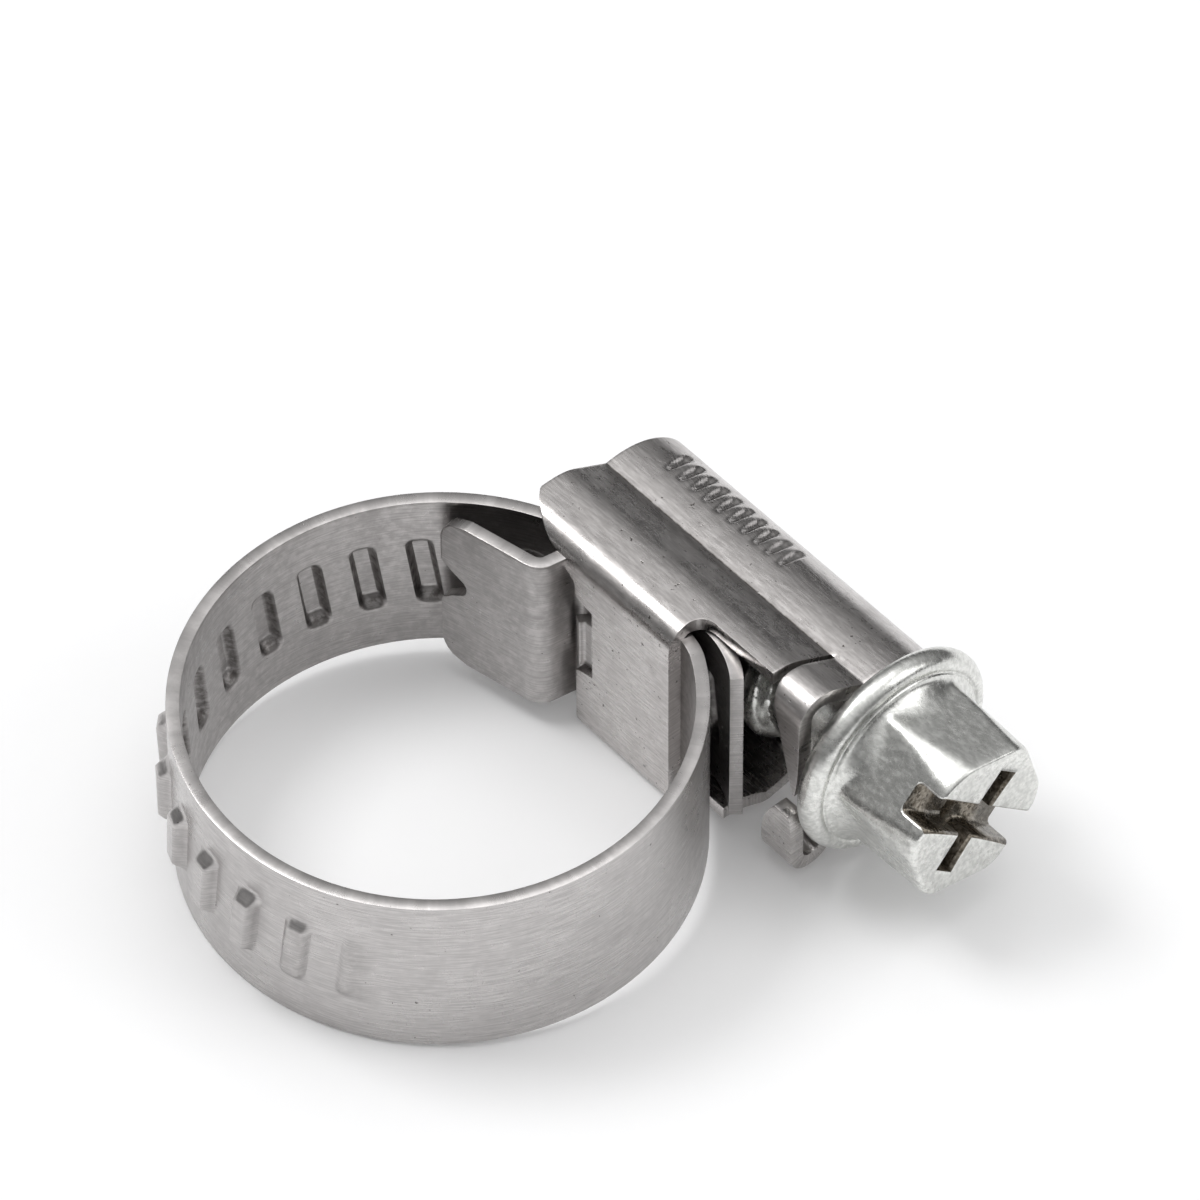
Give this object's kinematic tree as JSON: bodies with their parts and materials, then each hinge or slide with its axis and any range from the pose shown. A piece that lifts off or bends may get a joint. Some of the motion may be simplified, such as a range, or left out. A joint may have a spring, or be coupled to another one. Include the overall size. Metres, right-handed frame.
{
  "type": "hose clip",
  "caption": "Worm-drive hose clip: a closed steel band with pressed threads, a folded one-piece housing and a hexagon-headed worm screw that tightens the loop.",
  "frame": {"origin": "centre of the hose bore, at the middle of the band's width", "axes": "+Z along the hose, +Y from the hose to the housing, +X along the screw towards its hexagon head"},
  "size_m": [0.0294, 0.0322, 0.0114],
  "materials": {
    "band_steel": "rolled satin stainless steel",
    "housing_steel": "pressed satin stainless steel",
    "screw_zinc": "bright bluish zinc plate"
  },
  "bodies": {
    "clip": {"band": "band_steel", "housing": "housing_steel"},
    "screw": {"screw": "screw_zinc"}
  },
  "joints": [
    {"name": "screw_spin", "type": "hinge", "parent": "clip", "child": "screw", "pos_m": [0, 0.015, 0], "axis": [1, 0, 0], "continuous": true, "deforming": ["band"]}
  ]
}
